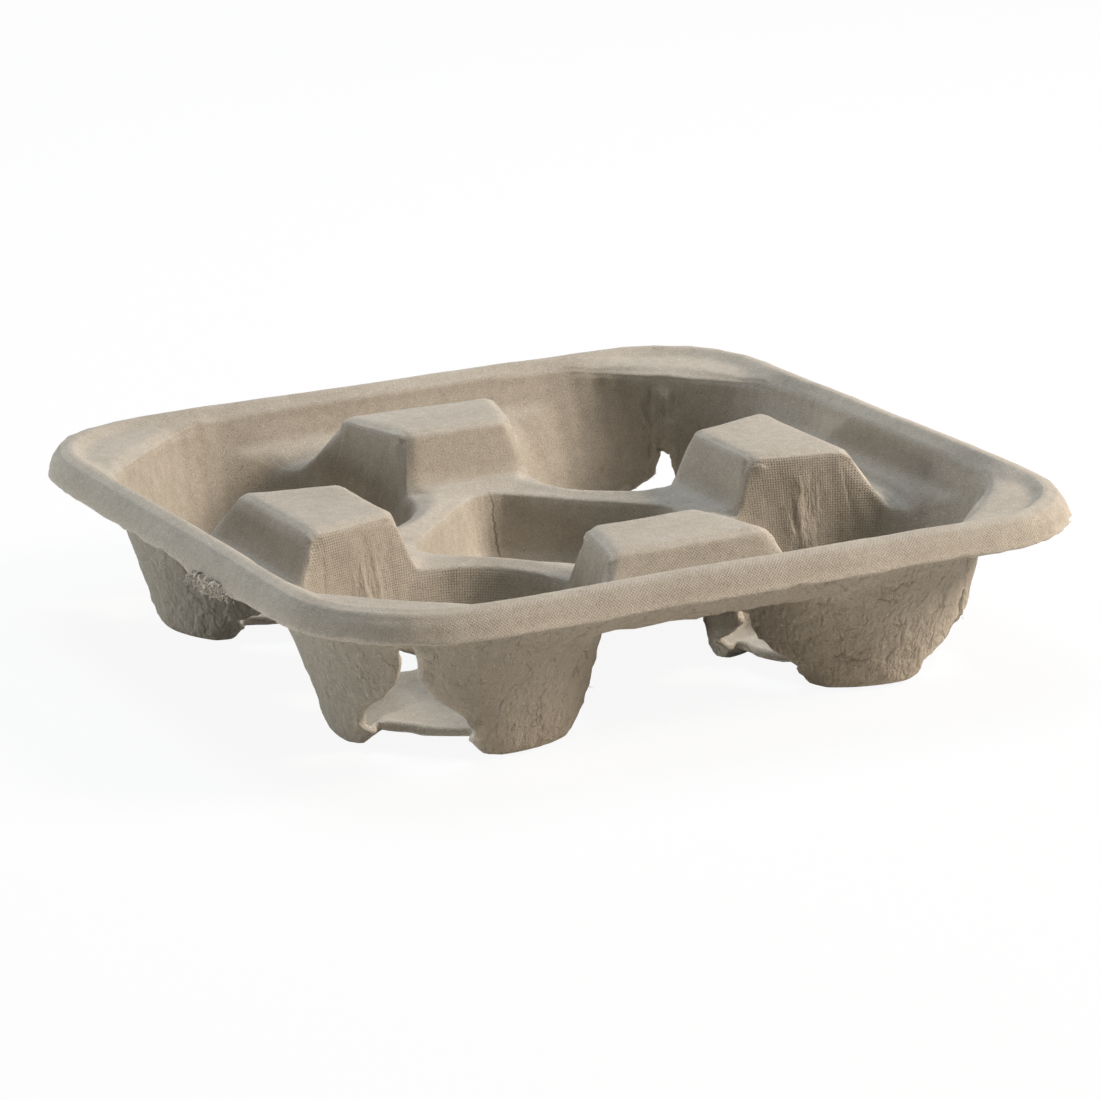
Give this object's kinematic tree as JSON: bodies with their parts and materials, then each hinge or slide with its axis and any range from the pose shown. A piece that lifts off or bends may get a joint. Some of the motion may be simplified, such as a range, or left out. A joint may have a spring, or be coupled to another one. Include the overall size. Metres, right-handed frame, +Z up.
{
  "type": "cup carrier",
  "caption": "Square moulded fibre tray that carries drinking cups in slotted wells on feet, with islands between the wells, a pocket in the middle and a turned-down lip.",
  "frame": {"origin": "on the floor under the middle of the carrier", "axes": "+Z up, X and Y along the carrier's straight sides; the corner with the torn slot points to -X -Y"},
  "size_m": [0.214, 0.214, 0.0448],
  "materials": {
    "pulp": "rough matt moulded fibre"
  },
  "bodies": {
    "root": {"cup_carrier": "pulp"}
  },
  "joints": []
}
